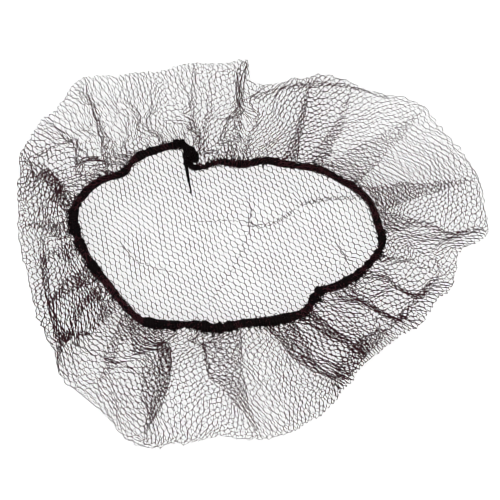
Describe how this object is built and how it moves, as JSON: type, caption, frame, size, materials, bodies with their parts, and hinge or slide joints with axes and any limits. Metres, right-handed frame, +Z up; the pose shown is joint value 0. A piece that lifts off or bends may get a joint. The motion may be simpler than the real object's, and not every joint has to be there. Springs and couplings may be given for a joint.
{
  "type": "hairnet",
  "caption": "Bouffant hairnet of dark knitted net lying flat, with a pleated gathered layer, a round elastic band round the opening, and the elastic's knot and free end.",
  "frame": {"origin": "on the table, under the middle of the net's outline", "axes": "+Z up out of the opening, +X along the long side towards the pointed end, +Y towards the knot's side of the opening"},
  "size_m": [0.2368, 0.1942, 0.0176],
  "materials": {
    "net": "dark brown-black fine nylon thread, slightly glossy, knitted in open hexagons",
    "elastic": "near-black elastic cord wrapped in bunched nylon net, matt and fuzzy"
  },
  "bodies": {
    "root": {"crown_net": "net", "elastic_band": "elastic", "elastic_knot": "elastic", "elastic_tail": "elastic"}
  },
  "joints": []
}
